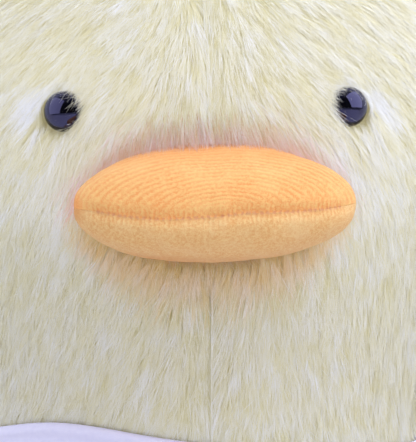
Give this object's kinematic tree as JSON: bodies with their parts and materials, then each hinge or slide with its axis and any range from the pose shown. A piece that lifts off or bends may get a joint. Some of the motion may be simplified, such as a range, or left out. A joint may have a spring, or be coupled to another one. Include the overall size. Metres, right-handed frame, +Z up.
{
  "type": "plush duck",
  "caption": "Sitting plush duck: pale cream fur head and body, wide orange stuffed bill, black domed eyes, wings and feet that lift, a tail and a white neckerchief.",
  "frame": {"origin": "on the ground under the middle of the duck's overall box", "axes": "+Z up; the face looks along -Y, so the duck's own left is +X"},
  "size_m": [0.2832, 0.3008, 0.334],
  "materials": {
    "long_pile_fur": "long-pile faux fur, pale cream-yellow with whiter tips",
    "short_pile_fabric": "short-pile plush, pale cream-yellow",
    "fibre_filling": "loose white polyester fibre filling",
    "orange_velour": "short velour with fine knit rows, orange",
    "pale_orange_velour": "smooth short velour, paler orange",
    "black_eye_plastic": "polished black plastic",
    "washer_plastic": "natural white moulded plastic",
    "white_cotton": "smooth plain-weave white cotton"
  },
  "bodies": {
    "torso": {"head_left_panel": "long_pile_fur", "head_right_panel": "long_pile_fur", "head_stuffing": "fibre_filling", "body_left_panel": "long_pile_fur", "body_right_panel": "long_pile_fur", "body_base_panel": "short_pile_fabric", "body_stuffing": "fibre_filling", "tail_cover": "long_pile_fur", "tail_stuffing": "fibre_filling", "bill_upper_panel": "orange_velour", "bill_lower_panel": "pale_orange_velour", "bill_stuffing": "fibre_filling", "left_eye": "black_eye_plastic", "right_eye": "black_eye_plastic", "left_eye_washer": "washer_plastic", "right_eye_washer": "washer_plastic", "neckerchief": "white_cotton", "neckerchief_knot": "white_cotton"},
    "left_wing": {"left_wing_cover": "long_pile_fur", "left_wing_stuffing": "fibre_filling"},
    "right_wing": {"right_wing_cover": "long_pile_fur", "right_wing_stuffing": "fibre_filling"},
    "left_foot": {"left_foot_upper": "orange_velour", "left_foot_sole": "pale_orange_velour", "left_foot_stuffing": "fibre_filling"},
    "right_foot": {"right_foot_upper": "orange_velour", "right_foot_sole": "pale_orange_velour", "right_foot_stuffing": "fibre_filling"}
  },
  "joints": [
    {"name": "left_wing_lift", "type": "hinge", "parent": "torso", "child": "left_wing", "pos_m": [0.09503, -0.00139, 0.104], "axis": [0, -1, 0], "range_deg": [0, 80]},
    {"name": "right_wing_lift", "type": "hinge", "parent": "torso", "child": "right_wing", "pos_m": [-0.09503, -0.00139, 0.104], "axis": [0, 1, 0], "range_deg": [0, 80]},
    {"name": "left_foot_lift", "type": "hinge", "parent": "torso", "child": "left_foot", "pos_m": [0.044, -0.09334, 0.019], "axis": [-0.9427, -0.3337, 0], "range_deg": [0, 60]},
    {"name": "right_foot_lift", "type": "hinge", "parent": "torso", "child": "right_foot", "pos_m": [-0.044, -0.09334, 0.019], "axis": [-0.9427, 0.3337, 0], "range_deg": [0, 60]}
  ]
}
